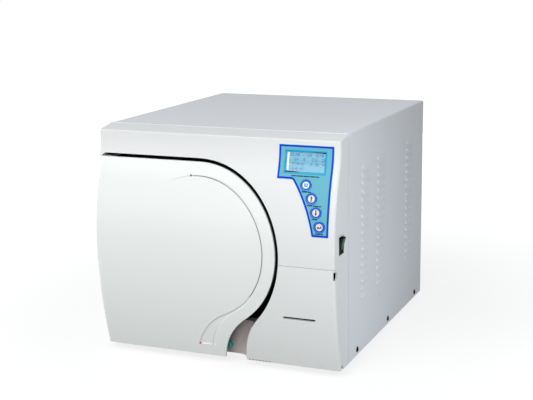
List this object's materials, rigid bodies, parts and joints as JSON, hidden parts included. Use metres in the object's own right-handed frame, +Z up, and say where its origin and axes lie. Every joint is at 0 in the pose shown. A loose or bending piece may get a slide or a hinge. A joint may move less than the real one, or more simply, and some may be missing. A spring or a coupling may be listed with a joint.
{
  "type": "benchtop steam autoclave",
  "caption": "Benchtop steam autoclave: louvred casing, bulged side-hinged door over a horizontal chamber with trays, keypad panel, and a fold-down printer flap.",
  "frame": {"origin": "under the middle of the whole machine, on the surface that its feet stand on", "axes": "+X to the right of someone facing the door, +Y to the back, +Z up"},
  "size_m": [0.488, 0.5956, 0.4389],
  "materials": {
    "cover_paint": "fine satin powder coat",
    "rear_paint": "fine satin powder coat",
    "zinc_steel": "zinc-plated sheet",
    "bright_steel": "bright turned steel",
    "vessel_steel": "brushed stainless steel",
    "black_steel": "black oxide",
    "bezel_plastic": "pearl painted, semi gloss",
    "flap_plastic": "pearl painted, semi gloss",
    "door_plastic": "pearl painted, semi gloss",
    "liner_plastic": "moulded, fine grain",
    "recess_plastic": "moulded, warm grey",
    "overlay_film": "printed polyester film",
    "display_glass": "clear window",
    "display_face": "liquid-crystal display",
    "key_plastic": "moulded, semi gloss, white face",
    "switch_black": "moulded",
    "rocker_plastic": "translucent green",
    "knob_plastic": "moulded teal",
    "printer_plastic": "moulded",
    "paper": "plain paper",
    "board_green": "solder mask",
    "black_plastic": "moulded",
    "filter_plastic": "moulded",
    "tank_plastic": "blow-moulded, translucent",
    "foot_rubber": "moulded",
    "gasket_silicone": "silicone",
    "insulation": "glass-fibre wool",
    "tray_aluminium": "anodised",
    "cast_aluminium": "cast",
    "fitting_brass": "machined"
  },
  "bodies": {
    "casing": {"outer_cover": "cover_paint", "base_tray": "zinc_steel", "front_frame": "zinc_steel", "rear_panel": "rear_paint", "upper_shelf": "zinc_steel", "feet": "foot_rubber", "foot_screws": "zinc_steel", "cover_screws": "black_steel", "rear_screws": "black_steel", "front_bezel": "bezel_plastic", "service_recess": "recess_plastic", "drain_valve": "fitting_brass", "flap_rod": "bright_steel", "printer_module": "printer_plastic", "paper_roll": "paper", "control_overlay": "overlay_film", "display_window": "display_glass", "display_module": "display_face", "control_board": "board_green", "switch_housing": "switch_black", "hinge_brackets": "zinc_steel", "hinge_pins": "bright_steel", "lock_solenoid": "black_steel", "chamber_shell": "vessel_steel", "chamber_flange": "vessel_steel", "heater_bands": "bright_steel", "insulation_jacket": "insulation", "chamber_cradle": "zinc_steel", "tray_rack": "bright_steel", "instrument_trays": "tray_aluminium", "clean_tank": "tank_plastic", "waste_tank": "tank_plastic", "vacuum_pump": "cast_aluminium", "water_pump": "cast_aluminium", "steam_generator": "vessel_steel", "valve_manifold": "fitting_brass", "fan_frame": "black_plastic", "condenser": "cast_aluminium", "air_filter": "filter_plastic", "power_supply": "zinc_steel", "main_board": "board_green", "power_inlet": "black_plastic", "fuse_holders": "black_plastic", "safety_valve": "fitting_brass", "overflow_spout": "bright_steel"},
    "door": {"door_cover": "door_plastic", "door_liner": "liner_plastic", "door_plate": "vessel_steel", "door_gasket": "gasket_silicone", "door_arm": "zinc_steel", "lock_keeper": "zinc_steel"},
    "flap": {"service_flap": "flap_plastic"},
    "key_menu": {"key_menu": "key_plastic"},
    "key_up": {"key_up": "key_plastic"},
    "key_down": {"key_down": "key_plastic"},
    "key_enter": {"key_enter": "key_plastic"},
    "rocker": {"power_rocker": "rocker_plastic"},
    "bolt": {"lock_bolt": "bright_steel"},
    "fan": {"fan_rotor": "black_plastic"},
    "drain": {"drain_knob": "knob_plastic"}
  },
  "joints": [
    {"name": "door_hinge", "type": "hinge", "parent": "casing", "child": "door", "pos_m": [-0.226, -0.2372, 0.224], "axis": [0, 0, -1], "range_deg": [0, 100]},
    {"name": "flap_hinge", "type": "hinge", "parent": "casing", "child": "flap", "pos_m": [0.148, -0.2552, 0.0185], "axis": [1, 0, 0], "range_deg": [0, 75]},
    {"name": "key_menu_press", "type": "slide", "parent": "casing", "child": "key_menu", "axis": [0, 0.9557, -0.2943], "range_m": [0, 0.001], "stiffness_N_per_m": 600},
    {"name": "key_up_press", "type": "slide", "parent": "casing", "child": "key_up", "axis": [0, 0.9712, -0.2381], "range_m": [0, 0.001], "stiffness_N_per_m": 600},
    {"name": "key_down_press", "type": "slide", "parent": "casing", "child": "key_down", "axis": [0, 0.9838, -0.1791], "range_m": [0, 0.001], "stiffness_N_per_m": 600},
    {"name": "key_enter_press", "type": "slide", "parent": "casing", "child": "key_enter", "axis": [0, 0.993, -0.1177], "range_m": [0, 0.001], "stiffness_N_per_m": 600},
    {"name": "rocker_pivot", "type": "hinge", "parent": "casing", "child": "rocker", "pos_m": [0.234, -0.2582, 0.245], "axis": [0, -1, 0], "range_deg": [0, 16]},
    {"name": "bolt_slide", "type": "slide", "parent": "casing", "child": "bolt", "axis": [-1, 0, 0], "range_m": [0, 0.022], "stiffness_N_per_m": 200},
    {"name": "fan_spin", "type": "hinge", "parent": "casing", "child": "fan", "pos_m": [-0.03, 0.2638, 0.282], "axis": [0, 1, 0], "continuous": true},
    {"name": "drain_turn", "type": "hinge", "parent": "casing", "child": "drain", "pos_m": [0.0104, -0.2442, 0.029], "axis": [0, -1, 0], "range_deg": [0, 90]}
  ]
}
